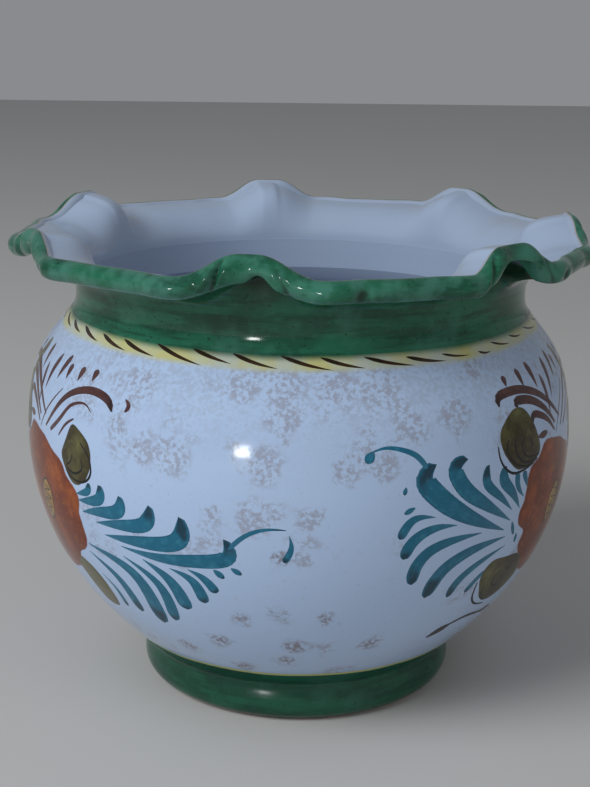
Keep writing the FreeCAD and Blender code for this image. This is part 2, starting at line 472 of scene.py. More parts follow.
def reach_of(tree):
    """The distance of the shaded point from the wheel's axis, in metres."""
    place = put(tree, "ShaderNodeTexCoord").outputs["Object"]
    level = put(tree, "ShaderNodeVectorMath", {"operation": "MULTIPLY"}, i0=place, i1=(1, 1, 0)).outputs[0]
    return put(tree, "ShaderNodeVectorMath", {"operation": "LENGTH"}, i0=level).outputs["Value"]


def foot_green(tree):
    """The deeper green of the foot and the waist, half way to the darkest green."""
    return mixed(tree, 0.5, green_colour(tree), green_dark)


def foot_colour(tree):
    """Green down to a ragged line just above the tread, and bare clay under it and inside the ring."""
    height = frayed(tree, height_of(tree), value_noise(tree, 90, 3.0), 0.0024)
    bare = ramp(tree, height, (bare_height + 0.15) * MM, (bare_height - 0.15) * MM)
    clay = mixed(tree, value_noise(tree, 300, 3.0), bare_clay, dark_clay)
    hidden = ramp(tree, reach_of(tree), (recess_radius + 1.0) * MM, (recess_radius + 0.2) * MM)
    return mixed(tree, maths(tree, "MAXIMUM", bare, hidden), foot_green(tree), clay)


foot_outside = spline_through([
    (tread_outer, 0.0), (tread_outer + 4.4, 0.6), (68.4, 2.7), (69.8, 5.4), (foot_radius, 8.0),
    (neck_radius, foot_height),
], 46)
foot_inside = spline_through([(recess_radius, foot_height), (56.6, 5.5), (tread_inner, 0.0)], 14)
foot_glaze = glazed("foot_green", foot_colour)
foot = turned_piece("foot", np.concatenate([foot_outside, foot_inside]), round_steps, foot_glaze, wave=False)
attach(foot, "root")
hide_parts("foot_ring")


# The floor disc closes the bottom. Its edge is the pot's waist, and inside it is glazed white.
# Underneath, inside the ring, it is the same bare clay as the tread.
floor_low, floor_top = (corner[2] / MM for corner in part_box("floor_disc"))
hub_radius = 0.4
hub_rings = 24
edge_starts = 66.5
glaze_starts = 4.0
floor_steps = 256
floor_roughness = 0.2


def floor_colour(tree):
    """White glaze above, bare clay below and green on the edge, which its distance from the axis tells."""
    edge = ramp(tree, reach_of(tree), edge_starts * MM, (edge_starts + 0.5) * MM)
    clay = mixed(tree, value_noise(tree, 200, 3.0), bare_clay, dark_clay)
    # The white on the floor inside mixes in the greyer white of painted shade.
    milky = mixed(tree, value_noise(tree, 40, 3.0), shaded_white, white)
    glaze_from = floor_low + glaze_starts
    above = ramp(tree, height_of(tree), glaze_from * MM, (glaze_from + 1) * MM)
    return mixed(tree, edge, mixed(tree, above, clay, milky), foot_green(tree))


def flat_rings(start, end, height, closed):
    """Points of (radius, height) straight across the disc from start to end, the end one only if closed."""
    return np.stack([np.linspace(start, end, hub_rings, endpoint=closed), np.full(hub_rings, height)], 1)


waist_edge = spline_through([
    (neck_radius, floor_low), (69.4, floor_low + 2.1), (68.9, floor_low + 4.4), (69.3, floor_low + 6.8),
    (waist_radius - glaze_inset, floor_top),
], 24)
floor_outline = np.concatenate([
    flat_rings(hub_radius, neck_radius, floor_low, False),
    waist_edge,
    flat_rings(waist_radius - 1.3, hub_radius, floor_top, True),
])
floor_glaze = glazed("floor_glaze", floor_colour, floor_roughness)
floor_disc = turned_piece("floor", floor_outline, floor_steps, floor_glaze, wave=False, to_axis=True)
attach(floor_disc, "root")
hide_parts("floor_disc")


# The collar is the low neck, thrown as one soft hollow between shoulder and lip.
# Its streaky green glaze runs a little over the shoulder.
collar_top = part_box("collar")[1][2] / MM
collar_rows = 60
throat_rows = 20
collar_outside = spline_through([
    (shoulder_radius - 0.1, belly_top), (99.0, belly_top + 2.3), (98.4, belly_top + 4.8),
    (98.2, belly_top + 7.6), (98.3, belly_top + 10.8), (throat_radius - glaze_inset, collar_top),
], collar_rows)
throat_heights = np.linspace(collar_top, belly_top, throat_rows)
collar_inside = np.stack([np.full(throat_rows, throat_bore), throat_heights], 1)
collar_glaze = glazed("collar_green", lambda tree: lined(tree, green_colour(tree)))
collar_outline = np.concatenate([collar_outside, collar_inside])
collar_edge = len(collar_outside)
collar = turned_piece("green_collar", collar_outline, round_steps, collar_glaze, inside_from=collar_edge)
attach(collar, "root")
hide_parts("collar")


# The lip flares out of the collar. Seven times round, a fingertip has pushed it up and in from below,
# which hollows its underside and leaves a shoulder on either side. Outside it is green, inside white.
pinch_middles = np.radians([-9.3, 42.9, 90.5, 137.7, 188.4, 241.7, 293.1])
pinch_strengths = np.array([0.94, 0.92, 0.96, 0.96, 0.98, 0.98, 0.70])
pinch_halves = np.radians([12.8, 11.0, 12.0, 12.8, 12.0, 12.8, 12.5])
pinch_flats = np.radians([1.6, 3.2, 2.0, 1.6, 2.4, 1.6, 1.6])
crest_lift = 9.3
brim_lift = 7.2
pinch_draw = 2.5
shoulder_swell = 2.6
crest_height = 199.9
brim_height = 191.1
lip_reach = 17.8
lip_hollows = np.array([5.0, 8.5, 6.0, 5.5, 5.5, 6.0, 6.0])
hollow_half = math.radians(9.5)
cusp_places = np.radians([2.0, 1.0, 1.5, -1.0, 1.0, -1.5, 0.5])
cusp_halves = np.radians([3.2, 6.5, 4.5, 3.5, 4.0, 4.5, 4.5])
cusp_flats = np.radians([0.0, 3.2, 1.5, 0.5, 1.0, 1.0, 1.0])
cusp_heights = np.array([3.4, 6.0, 4.0, 3.4, 3.8, 4.0, 4.5])
edge_thickness = 6.2
edge_share = 0.36
beside_share = 1.15
beside_half = math.radians(6.4)
crest_room = 0.2
rim_steps = 900
lip_steps = 34
# The near black green is painted shade in the lip's hollows and the band's creases, where glaze also pooled.
shade_and_pool_green = (0.006, 0.018, 0.010, 1)


def bump(offset, half):
    """A smooth bump of height one: the squared cosine of a quarter turn per half width, nothing beyond."""
    return np.where(np.abs(offset) < half, np.cos(np.clip(offset / half, -1, 1) * np.pi / 2) ** 2, 0)


rim_turns = np.linspace(0, 2 * np.pi, rim_steps, endpoint=False)
from_pinch = (rim_turns[None] - pinch_middles[:, None] + np.pi) % (2 * np.pi) - np.pi
pinch_here = bump(from_pinch, pinch_halves[:, None])
from_flat = np.maximum(np.abs(from_pinch) - pinch_flats[:, None], 0)
pinch_top = bump(from_flat, (pinch_halves - pinch_flats)[:, None])
rim_pinch = pinch_here.sum(0)
rim_beside = bump(np.abs(from_pinch) - pinch_halves[:, None] * beside_share, beside_half).sum(0)
rim_sway = 0.22 * np.sin(3 * rim_turns + 1.0) + 0.15 * np.sin(8 * rim_turns + 0.4)
rim_sway += 0.10 * np.sin(17 * rim_turns)
seat_radius = throat_radius + lip_reach - pinch_draw * rim_pinch + shoulder_swell * rim_beside
crest = crest_height + rim_sway + crest_lift * (pinch_top * pinch_strengths[:, None]).sum(0)
crest = np.minimum(crest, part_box("rolled_edge")[1][2] / MM - crest_room)
brim = brim_height + rim_sway + brim_lift * (pinch_here * pinch_strengths[:, None]).sum(0)
from_cusp = np.maximum(np.abs(from_pinch - cusp_places[:, None]) - cusp_flats[:, None], 0)
cusp_here = bump(from_cusp, (cusp_halves - cusp_flats)[:, None])
cusp_lift = (cusp_here * (cusp_heights * pinch_strengths)[:, None]).sum(0)
seat_height = (crest + brim + cusp_lift) / 2
edge_half = np.minimum(edge_thickness / 2, edge_share * (crest - brim - cusp_lift))
rim_hollow = (bump(from_pinch - math.radians(1.0), hollow_half) * lip_hollows[:, None]).sum(0)


def lip_side(start, end_height, knots, hollow):
    """One side of the lip at every turn: a spline through knots, given as shares of the reach and the rise,
    from the collar to the roll. A pinch pushes it in, most of all close under the roll."""
    shares = spline_through(knots, lip_steps)
    out = shares[:, 0][None] * (seat_radius - start)[:, None]
    up = shares[:, 1][None] * (end_height - collar_top)[:, None]
    push = hollow * rim_hollow[:, None] * np.sin(np.pi * along_lip ** 1.7)[None] ** 1.3
    return start + out - push, collar_top + up


outer_knots = [(0, 0), (0.06, 0.28), (0.31, 0.72), (0.64, 0.92), (1, 1)]
inner_knots = [(0, 0), (0.018, 0.18), (0.09, 0.40), (0.27, 0.67), (0.60, 0.90), (1, 1)]
along_lip = np.linspace(0, 1, lip_steps)
outer_radius, outer_height = lip_side(throat_radius - glaze_inset, seat_height - edge_half, outer_knots, 1.0)
inner_radius, inner_height = lip_side(throat_bore, seat_height + edge_half, inner_knots, 0.55)
lip_points = placed(
    rim_turns[:, None],
    np.concatenate([outer_radius, inner_radius[:, ::-1]], 1),
    np.concatenate([outer_height, inner_height[:, ::-1]], 1),
)
# Painted shade: the lip's outside darkens towards the roll, under which shade falls, and more in each pinch's
# hollow, where glaze also pooled.
lip_shade_and_pool = (0.30 * np.clip(rim_hollow / 6, 0, 1)[:, None] + 0.26) * along_lip[None] ** 1.2
lip_inside = np.ones((rim_steps, lip_steps))
lip_uv = uv_grid(rim_turns[:, None] / (2 * np.pi), np.concatenate([lip_shade_and_pool, lip_inside], 1))


def lip_colour(tree):
    """White inside. Green outside, near black in the hollows and close under the roll: painted shade, and glaze
    pooled there, as v tells.
    """
    pooled = ramp(tree, brush_uv(tree)[2], 0.03, 0.24, 0.93)
    return lined(tree, mixed(tree, pooled, green_colour(tree), shade_and_pool_green))


lip_glaze = glazed("lip_glaze", lip_colour)
lip = add_piece("lip", lip_points, ring_faces(rim_steps, 2 * lip_steps), lip_glaze, lip_uv)
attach(lip, "root")
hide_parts("flared_lip")


# The lip's edge is rolled over outwards into a thick green band. Under each pinch the band's lower edge
# is folded up to a cusp, its face is dented by the fingertip, and a crease runs up beside the dent.
roll_reach = 8.0
roll_tuck = 1.2
crease_places = np.radians([-5.4, -7.0, -6.0, -5.0, -6.0, -5.5, -6.5])
crease_half = math.radians(1.2)
crease_depth = 2.0
crease_slant = math.radians(1.1)
dent_depth = 2.2
dent_half = math.radians(4.6)
fold_places = np.radians([5.9, 8.7, 7.0, 6.0, 6.5, 6.0, 7.0])
fold_depth = 1.4
curl_places = np.radians([19.8, 13.6, 12.0, 11.0, 12.0, 11.5, 12.0])
curl_depths = np.array([1.2, 1.4, 0.9, 0.5, 1.0, 0.6, 0.8])
curl_half = math.radians(1.7)
cusp_draw = 1.2
ridge_rise = 0.9
roll_steps = 48


def roll_section(angle):
    """The band's section at each turn: a squashed ring between brim and crest. angle 0 is its outermost
    point, a quarter turn its crest and minus a quarter its brim. Cusp, dent and creases are bumps of the
    turn that act on its lower or outer part. The third result, from 0 to 1, is painted shade along the lower
    side and in the creases, curls and hollows, where glaze also pooled."""
    rise = np.sin(angle)[None]
    outer = np.clip(np.cos(angle), 0, 1)[None]
    low = np.clip(-rise, 0, 1)
    middle = ((crest + brim) / 2)[:, None]
    half = ((crest - brim) / 2)[:, None]
    height = middle + half * rise + cusp_lift[:, None] * low ** 1.3
    radius = seat_radius[:, None] + roll_reach / 2 * (1 + np.cos(angle))[None] - roll_tuck
    # Painted shade: the band darkens along its lower side, under which shade falls.
    pooled = 0.35 * low ** 2 * outer ** 0.3 + np.zeros_like(radius)
    for number in range(len(pinch_middles)):
        offset = from_pinch[number][:, None]
        strength = pinch_strengths[number]
        cusp = bump(from_cusp[number][:, None], cusp_halves[number] - cusp_flats[number])
        radius = radius - cusp_draw * cusp * low
        dent = bump(offset - cusp_places[number] * 0.2, dent_half)
        radius = radius - dent_depth * strength * dent * outer * (0.75 + 0.25 * rise)
        from_crease = offset - crease_places[number] - crease_slant * rise
        crease = bump(from_crease, crease_half)
        fold = bump(offset - fold_places[number] + crease_slant * 1.5 * rise, crease_half)
        furrow = crease_depth * crease + fold_depth * fold * (0.4 + 0.6 * low)
        radius = radius - strength * furrow * outer ** 0.7
        ridge = bump(from_crease + crease_half * 1.5, crease_half * 1.3)
        radius = radius + ridge_rise * strength * ridge * outer
        from_curl = offset - curl_places[number] - crease_slant * 0.6 * rise
        curl = bump(from_curl, curl_half * 2) * np.cos(np.clip(from_curl / curl_half, -2, 2) * np.pi / 2)
        curl_reach = np.clip(1.2 - np.abs(rise + 0.25) * 1.5, 0, 1)
        radius = radius - curl_depths[number] * curl * outer * curl_reach
        # Painted shade in the creases, the fold, the curl and the hollow under the cusp, where glaze also
        # pooled.
        pooled = pooled + (1.1 * crease + 1.0 * fold) * outer ** 0.5 * (0.6 + 0.4 * low)
        pooled = pooled + curl_depths[number] * np.clip(curl, 0, 1) * outer ** 0.5 * curl_reach
        arch = bump(offset - cusp_places[number], cusp_halves[number] * 1.3)
        pooled = pooled + 0.5 * arch * outer * low ** 0.5
    lumps = 0.16 * np.sin(11 * rim_turns + 0.8)[:, None] * np.cos(angle)[None]
    lumps = lumps + 0.10 * np.sin(23 * rim_turns)[:, None] * rise
    return radius + lumps - glaze_inset, height, np.clip(pooled, 0, 1)


roll_angles = np.linspace(-np.pi, np.pi, roll_steps, endpoint=False)
roll_radii, roll_heights, roll_shade_and_pool = roll_section(roll_angles)
roll_points = placed(rim_turns[:, None], roll_radii, roll_heights)
roll_uv = uv_grid(roll_shade_and_pool, (roll_angles[None] + np.pi) / (2 * np.pi))
crest_share = 0.775
pink_half = 0.006
white_from = crest_share + 0.012
white_full = crest_share + 0.035
crest_pink = (0.30, 0.27, 0.27, 1)


def band_colour(tree):
    """Green on the outside and over the crest, lighter in ragged patches where it thins on the face, and near
    black as painted shade in the creases and hollows, where glaze also pooled, told by u. Then a thin pinkish
    line and the white of the inside, greyed as painted shade."""
    u, v = brush_uv(tree)[1:]
    thinned = ramp(tree, value_noise(tree, 95, 5.0), 0.38, 0.62, 0.72)
    glaze = mixed(tree, thinned, green_colour(tree), green_thin)
    # Painted shade: near black in the creases and hollows, as u tells.
    depth = frayed(tree, u, value_noise(tree, 150, 3.0), 0.9)
    glaze = mixed(tree, ramp(tree, depth, 0.15, 1.05, 0.8), glaze, shade_and_pool_green)
    ragged = frayed(tree, v, value_noise(tree, 60, 3.0), 0.05)
    pink = ramp(tree, ragged, crest_share - pink_half, crest_share + pink_half)
    edge = mixed(tree, pink, glaze, crest_pink)
    return mixed(tree, ramp(tree, ragged, white_from, white_full), edge, shaded_white)


roll_glaze = glazed("band_green", band_colour)
roll = add_piece("rolled_edge_glaze", roll_points, ring_faces(rim_steps, roll_steps), roll_glaze, roll_uv)
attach(roll, "root")
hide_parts("rolled_edge")


# Dark slanted dashes cross the yellow band under the collar, each one flick of a loaded brush: a thick start
# high on the left that thins out down to the right. The front ones are given, the rest follow their rhythm.
brush_sink = 0.02
mark_spread = 1.12
tip_half = 0.02
paint_cover = 0.99
dash_tail = (0.040, 0.017, 0.009, 1)
dash_dark = (0.016, 0.009, 0.007, 1)
profile_rows = 600
profile_line = belly_profile(profile_rows)
profile_normals = normals_of(profile_line)
profile_length = np.concatenate([[0], np.cumsum(np.linalg.norm(np.diff(profile_line, axis=0), axis=1))])


def on_belly(turn, length, lift):
    """Points on the belly at these turns and lengths up its profile, lifted off the glaze by lift, in mm."""
    radius = np.interp(length, profile_length, profile_line[:, 0])
    height = np.interp(length, profile_length, profile_line[:, 1])
    out = np.interp(length, profile_length, profile_normals[:, 0])
    up = np.interp(length, profile_length, profile_normals[:, 1])
    return placed(turn, radius + hand_wave(turn, height) + out * lift, height + up * lift)


def unrolled(knots, middle):
    """Knots of (degrees round, mm up) as mm to the side of middle and mm up along the profile."""
    radius = np.interp(knots[:, 1], profile_line[:, 1], profile_line[:, 0])
    length = np.interp(knots[:, 1], profile_line[:, 1], profile_length)
    return np.stack([np.radians(knots[:, 0] - middle) * radius, length], 1)


def rolled_up(flat, middle, lift):
    """The reverse: flat points back on the belly, lifted off it by lift."""
    radius = np.interp(flat[..., 1], profile_length, profile_line[:, 0])
    return on_belly(math.radians(middle) + flat[..., 0] / radius, flat[..., 1], lift)


def growth(share, fullest, start, end, close):
    """One side of a brush mark along its length: a quarter sine up to one at fullest, then a quarter cosine
    to the power close down to end. A small close leaves a blunt tip, a large one a long point."""
    grow = start + (1 - start) * np.sin(np.clip(share / fullest, 0, 1) * np.pi / 2)
    fade = np.cos(np.clip((share - fullest) / (1 - fullest), 0, 1) * np.pi / 2) ** close
    return np.where(share < fullest, grow, end + (1 - end) * fade)


def tube_faces(rows, columns):
    """Quads of a grid that closes only along its rows, and a cap over the first and the last of them."""
    quads = ring_faces(rows, columns)[: (rows - 1) * columns]
    first = list(range(columns))
    last = [corner + (rows - 1) * columns for corner in first]
    return quads + [first, last[::-1]]


flick = (0.22, 0.20, 0.0, 0.9, 0.9)
leaflet = (0.86, 0.05, 0.0, 0.34, 0.46)
claw_left = (0.82, 0.04, 0.0, 1.0, 0.33)
claw_right = (0.82, 0.04, 0.0, 0.33, 1.0)
tendril = (0.12, 0.8, 0.10, 0.8, 0.8)
thread = (0.50, 0.55, 0.35, 0.5, 0.5)
blob = (0.55, 0.25, 0.0, 0.5, 0.5)
slab = (0.45, 0.60, 0.30, 0.35, 0.35)


def brush_mark(shape, width, knots, around=0.0, rise=0.035, steps=30):
    """One brush mark: points, faces and UV of a flat lens of this width along knots of (degrees, mm up).
    shape gives where it is fullest, its start, its end and how its left and right sides close."""
    fullest, start, end, close_left, close_right = shape
    knots = np.asarray(knots, float) + np.array([around, 0.0])
    middle = knots[:, 0].mean()
    line = spline_through(unrolled(knots, middle), steps)
    share = np.linspace(0, 1, steps)
    along = np.gradient(line, axis=0)
    along /= np.linalg.norm(along, axis=1)[:, None]
    side = np.stack([along[:, 1], -along[:, 0]], 1)
    across = np.array([-1, -0.84, -0.45, 0, 0.45, 0.84, 1, 0])
    left = growth(share, fullest, start, end, close_left)
    right = growth(share, fullest, start, end, close_right)
    half = width * mark_spread / 2 * np.where(across[None] < 0, left[:, None], right[:, None]) + tip_half
    lift = np.array([-brush_sink, rise * 0.7, rise, rise, rise, rise * 0.7, -brush_sink, -brush_sink * 3])
    flat = line[:, None] + side[:, None] * (half * across[None])[:, :, None]
    points = rolled_up(flat, middle, lift[None])
    faces = [face[::-1] for face in tube_faces(steps, len(across))]
    return points.reshape(-1, 3), faces, uv_grid(share[:, None], (across[None] + 1) / 2).reshape(-1, 2)


def brushwork(name, marks, material):
    """Many brush marks as one piece that rides on the pot."""
    points, faces, uvs, first = [], [], [], 0
    for mark_points, mark_faces, uv in marks:
        faces += [[corner + first for corner in face] for face in mark_faces]
        points.append(mark_points)
        uvs.append(uv)
        first += len(mark_points)
    piece = add_piece(name, np.concatenate(points), faces, material, np.concatenate(uvs))
    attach(piece, "root")


def paint(name, ground, colour, pooled, streaks=0.5, pool_from=0.80, pool=0.8, thin=0.03):
    """Pigment brushed on the raw glaze and fired in: streaks along the mark, a dark pool towards its end,
    a pale start where the brush was drier, and soft edges where the ground shows through."""
    worn = (colour[0] * 2.2, colour[1] * 1.65, colour[2] * 1.45, 1)

    def colour_of(tree):
        """The pigment over the ground, by u along the mark and v across it."""
        uv, u, v = brush_uv(tree)
        hair = value_noise(tree, 1.0, 2.0, 0.6, vector=uv, stretch=(3, 9, 1))
        blot = value_noise(tree, 260, 4.0, 0.65)
        cloud = value_noise(tree, 75, 2.0, 0.5)
        off_middle = maths(tree, "ABSOLUTE", maths(tree, "SUBTRACT", v, 0.5))
        edge = ramp(tree, frayed(tree, off_middle, blot, 0.06), 0.50, 0.455, paint_cover)
        dry = maths(tree, "SUBTRACT", 1.0, ramp(tree, u, 0.55, 0.0, thin))
        weak = maths(tree, "ADD", times(tree, hair, 0.4), times(tree, blot, 0.6))
        weak = ramp(tree, weak, 0.46, 0.66, streaks)
        share = times(tree, times(tree, edge, dry), maths(tree, "SUBTRACT", 1.0, times(tree, weak, 0.06)))
        wet = ramp(tree, frayed(tree, u, cloud, 0.5), pool_from, pool_from + 0.14, pool)
        wet = times(tree, wet, ramp(tree, off_middle, 0.42, 0.25))
        rim = ramp(tree, off_middle, 0.36, 0.44, 0.30)
        pigment = mixed(tree, weak, colour, worn)
        pigment = mixed(tree, maths(tree, "MAXIMUM", wet, rim), pigment, pooled)
        return mixed(tree, share, ground, pigment)

    return glazed(name, colour_of)


seen_dashes = [
    (-79, 167.0, -69, 164.2), (-69.5, 167.0, -61.5, 164.4), (-61, 167.2, -52, 164.0),
    (-51.5, 167.0, -41.5, 163.6), (-43.5, 167.2, -33, 163.6), (-33.5, 168.0, -21, 162.8),
    (-24, 168.4, -14.5, 164.2), (-14.5, 167.6, -4.5, 163.4), (-4, 167.6, 7, 163.0), (4.5, 167.2, 14, 163.4),
    (14, 167.0, 25, 163.2), (23.5, 166.2, 33, 163.4), (32.5, 165.8, 40, 164.0), (43, 164.4, 47, 163.6),
    (48.5, 166.4, 55.5, 164.2), (57, 166.6, 63, 165.2), (66.5, 166.8, 76.5, 164.0),
]
dash_width = 1.55
thin_dash_width = 1.0
thin_from, thin_to = 30, 80
dash_bow = 0.45
dash_pitch = 9.7
dash_high = 167.1
dash_low = 163.5
unseen_from, unseen_to = 77.0, 276.0
rng = np.random.default_rng(17)
dash_lines = list(seen_dashes)
for start in np.arange(unseen_from, unseen_to, dash_pitch):
    left = start + rng.uniform(-1, 1)
    high = dash_high + rng.uniform(-0.4, 0.6)
    dash_lines.append((left, high, left + rng.uniform(8.5, 11), dash_low + rng.uniform(-0.5, 0.5)))
dash_marks = []
for left, high, right, low in dash_lines:
    knots = [(left, high), ((left + right) / 2, (high + low) / 2 - dash_bow), (right, low)]
    width = thin_dash_width if thin_from < left < thin_to else dash_width
    dash_marks.append(brush_mark(flick, width, knots, steps=18))
dash_paint = paint("dash_brown", yellow, dash_dark, dash_tail, streaks=0.1, pool_from=0.3, thin=0.0)
brushwork("band_dashes", dash_marks, dash_paint)


# Three sprays of flowers are painted round the belly, a third of the way apart. Each has one orange flower
# with a scalloped edge. Every mark is given in degrees from the flower's middle and mm above the table.
spray_middles = (-62.5, 64.0, 181.0)
bud_leans = (-13.0, 11.5, -2.0)
orange = (0.270, 0.056, 0.006, 1)
orange_deep = (0.130, 0.021, 0.003, 1)
orange_light = (0.370, 0.115, 0.014, 1)
flower_edge = [
    (-2.5, 125), (2, 123), (5, 120), (8, 118), (10, 115.5), (11.5, 111.5), (14.5, 107), (15.5, 103), (15, 98),
    (15.5, 91), (15.5, 85), (13.5, 79.5), (11, 77), (9.5, 72), (5.5, 66), (0, 63.5), (-4.5, 65), (-8, 69.5),
    (-11.5, 78.5), (-13, 84.5), (-12.5, 88.5), (-15, 93), (-16, 99), (-15, 103.5), (-14.5, 110), (-13.5, 117),
    (-9.5, 121.5), (-7.5, 125.5),
]


def blot_mark(edge, around, rise, rows, columns):
    """A filled blot: the closed spline through edge, which is the middle one of three rounds, turned
    anticlockwise and drawn in towards its middle in rings, with a last ring under the glaze and a tiny cap on
    both. u runs round it, v from middle to edge."""
    edge = np.asarray(edge, float) + np.array([around, 0.0])
    middle = edge[:, 0].mean()
    flat = unrolled(edge, middle)
    following = np.roll(flat, -1, 0)
    if (flat[:, 0] * following[:, 1] - following[:, 0] * flat[:, 1]).sum() < 0:
        flat = flat[::-1]
    loop = spline_through(np.concatenate([flat, flat, flat, flat[:1]]), 3 * columns + 1)[columns: 2 * columns]
    centre = loop.mean(0)
    share = np.concatenate([[0.02], np.linspace(0.1, 0.97, rows - 2), [1.0]])
    lift = np.where(share < 0.99, rise, -brush_sink)
    rings = centre + share[:, None, None] * (loop - centre)[None]
    top = rolled_up(rings, middle, lift[:, None])
    under = rolled_up(centre + share[0] * (loop - centre), middle, np.full(columns, -brush_sink * 3))
    uv = uv_grid(np.linspace(0, 1, columns)[None], np.append(share, 1.0)[:, None])
    return np.concatenate([top.reshape(-1, 3), under]), tube_faces(rows + 1, columns), uv.reshape(-1, 2)


def wash(name, ground, colour, deep, light, rays=0.0):
    """A broad wash of pigment: cloudy, deep along the edge where it pooled, light where it ran thin.
    rays mixes in brush streaks that run out from the middle."""

    def colour_of(tree):
        """The wash over the ground, by v from its middle to its edge."""
        uv, _, v = brush_uv(tree)
        streak = value_noise(tree, 1.0, 3.0, 0.6, vector=uv, stretch=(26, 1.6, 1))
        cloud = value_noise(tree, 60, 4.0, 0.6)
        fine = value_noise(tree, 330, 3.0, 0.6)
        tone = mixed(tree, ramp(tree, cloud, 0.44, 0.62, 0.75), deep, colour)
        tone = mixed(tree, ramp(tree, cloud, 0.58, 0.74, 0.7), tone, light)
        tone = mixed(tree, ramp(tree, streak, 0.52, 0.72, rays), tone, deep)
        tone = mixed(tree, ramp(tree, fine, 0.50, 0.70, 0.25), tone, light)
        ragged = frayed(tree, v, fine, 0.04)
        tone = mixed(tree, ramp(tree, ragged, 0.90, 0.96, 0.35), tone, deep)
        return mixed(tree, ramp(tree, ragged, 1.0, 0.97), ground, tone)

    return glazed(name, colour_of)


flower_marks = [blot_mark(flower_edge, around, 0.045, 20, 140) for around in spray_middles]
flower_paint = wash("flower_orange", white, orange, orange_deep, orange_light, 0.55)
brushwork("flowers", flower_marks, flower_paint)


# Each flower's eye is an ochre oval laid over the orange. A pen outlines it and scribbles a zigzag across
# it, and both are drawn with the other pen lines further on.
ochre = (0.420, 0.270, 0.070, 1)
ochre_deep = (0.240, 0.125, 0.030, 1)
ochre_light = (0.560, 0.410, 0.130, 1)
eye_middle, eye_height = 0.5, 95
eye_half_width, eye_half_height = 2.9, 9
eye_lean = 0.5
eye_angles = np.linspace(0, 2 * np.pi, 12, endpoint=False)
eye_across = eye_middle + eye_half_width * np.cos(eye_angles) + eye_lean * np.sin(eye_angles)
eye_edge = np.stack([eye_across, eye_height + eye_half_height * np.sin(eye_angles)], 1)
eye_marks = [blot_mark(eye_edge, around, 0.060, 8, 48) for around in spray_middles]
eye_paint = wash("eye_ochre", orange, ochre, ochre_deep, ochre_light)
brushwork("flower_eyes", eye_marks, eye_paint)


# Teal fans spring from both sides of the flower. On the right they sweep up in hooked strokes and fall in
# a row of leaflets; on the left they stand up and hang down. Each ends where the full brush was lifted.
teal = (0.005, 0.108, 0.185, 1)
teal_deep = (0.003, 0.030, 0.052, 1)
teal_marks = [
    (claw_left, 3.4, [(14.5, 105.5), (17, 107), (18.5, 109), (18.5, 112)]),
    (claw_left, 5.0, [(15, 103), (19, 104.5), (22, 108), (21.5, 112.5)]),
    (claw_left, 5.8, [(16, 98.5), (22.5, 101.5), (27, 105.5), (26.8, 110.5)]),
    (claw_left, 6.2, [(20, 96), (28, 98.5), (33.5, 103), (33.8, 109.5)]),
    (claw_left, 7.2, [(22, 91.5), (32.5, 93), (40.5, 99), (40.2, 107)]),
    (claw_left, 6.4, [(26, 88.5), (35.5, 87.5), (44, 89), (49.8, 93.5), (48.8, 100)]),
    (tendril, 1.9, [(49.8, 96), (53.3, 102.5), (57, 105.2), (60.5, 105.2)]),
    (leaflet, 2.6, [(61, 103), (61.4, 98), (60, 91.5)]),
    (leaflet, 2.4, [(16.5, 70.5), (19.5, 64), (20, 55.5)]),
    (leaflet, 4.8, [(15, 80), (22.5, 70.5), (24.8, 55.5)]),
    (leaflet, 7.0, [(15.5, 84), (28, 75.5), (30.5, 52.5)]),
    (leaflet, 5.3, [(26, 84), (33.5, 74), (34.5, 56)]),
    (leaflet, 6.2, [(31, 85), (36.5, 77.5), (39, 64)]),
    (leaflet, 4.9, [(37, 83.5), (41.5, 79.5), (43.5, 69)]),
    (leaflet, 4.1, [(41, 84.5), (44, 81.5), (46.5, 75)]),
    (blob, 2.7, [(46.5, 86), (48.5, 82.5)]),
    (blob, 2.4, [(50, 87.5), (52, 85)]),
    (claw_right, 8.4, [(-20, 94), (-33.5, 108.5), (-38.5, 117), (-40.3, 123), (-38, 128)]),
    (claw_right, 6.8, [(-18.5, 97.5), (-28.5, 111), (-33, 120), (-33.8, 125.5), (-31, 128)]),
    (claw_right, 4.2, [(-18.5, 102), (-24, 112), (-26.5, 118), (-25.8, 124)]),
    (claw_right, 5.2, [(-16, 101.5), (-20, 112), (-21.8, 117), (-21, 121.5)]),
    (claw_right, 3.2, [(-15, 106), (-17.5, 113), (-17.5, 118)]),
    (claw_right, 3.0, [(-14, 109.5), (-15.5, 117)]),
    (tendril, 2.1, [(-40, 127), (-42, 132), (-45, 135), (-48.5, 136), (-51, 134.5)]),
    (blob, 3.7, [(-50.4, 135), (-51, 133), (-51.8, 131)]),
    (blob, 1.7, [(-44.2, 120.5), (-44.5, 117.5)]),
    (blob, 2.1, [(-42.3, 112), (-44.4, 110)]),
    (leaflet, 3.8, [(-38, 107), (-42.5, 107), (-45, 99.5)]),
    (leaflet, 5.0, [(-33, 102), (-38.5, 102), (-42.5, 97), (-43.8, 90.5)]),
    (leaflet, 5.5, [(-26.5, 96), (-35, 95), (-39, 91.5), (-41, 84.5), (-41, 78)]),
    (leaflet, 6.4, [(-19, 90.5), (-29.5, 88), (-34.5, 82), (-37, 70)]),
    (leaflet, 4.2, [(-18, 86), (-26.5, 80), (-30, 73.5), (-30.8, 67.5)]),
    (leaflet, 3.0, [(-19, 78.5), (-22.5, 75.5), (-26, 67.5)]),
    (blob, 2.0, [(-17.8, 96.5), (-16.2, 90)]),
    (blob, 1.9, [(-15.2, 90), (-14.7, 85.5)]),
]


def sprayed(marks, rise, steps=30):
    """These marks of (shape, mm wide, knots), painted once in every spray."""
    return [
        brush_mark(shape, width, knots, around, rise, steps)
        for around in spray_middles for shape, width, knots in marks
    ]


teal_paint = paint("leaf_teal", white, teal, teal_deep, streaks=0.60, pool_from=0.80, pool=0.95, thin=0.04)
brushwork("teal_fans", sprayed(teal_marks, 0.030, 36), teal_paint)


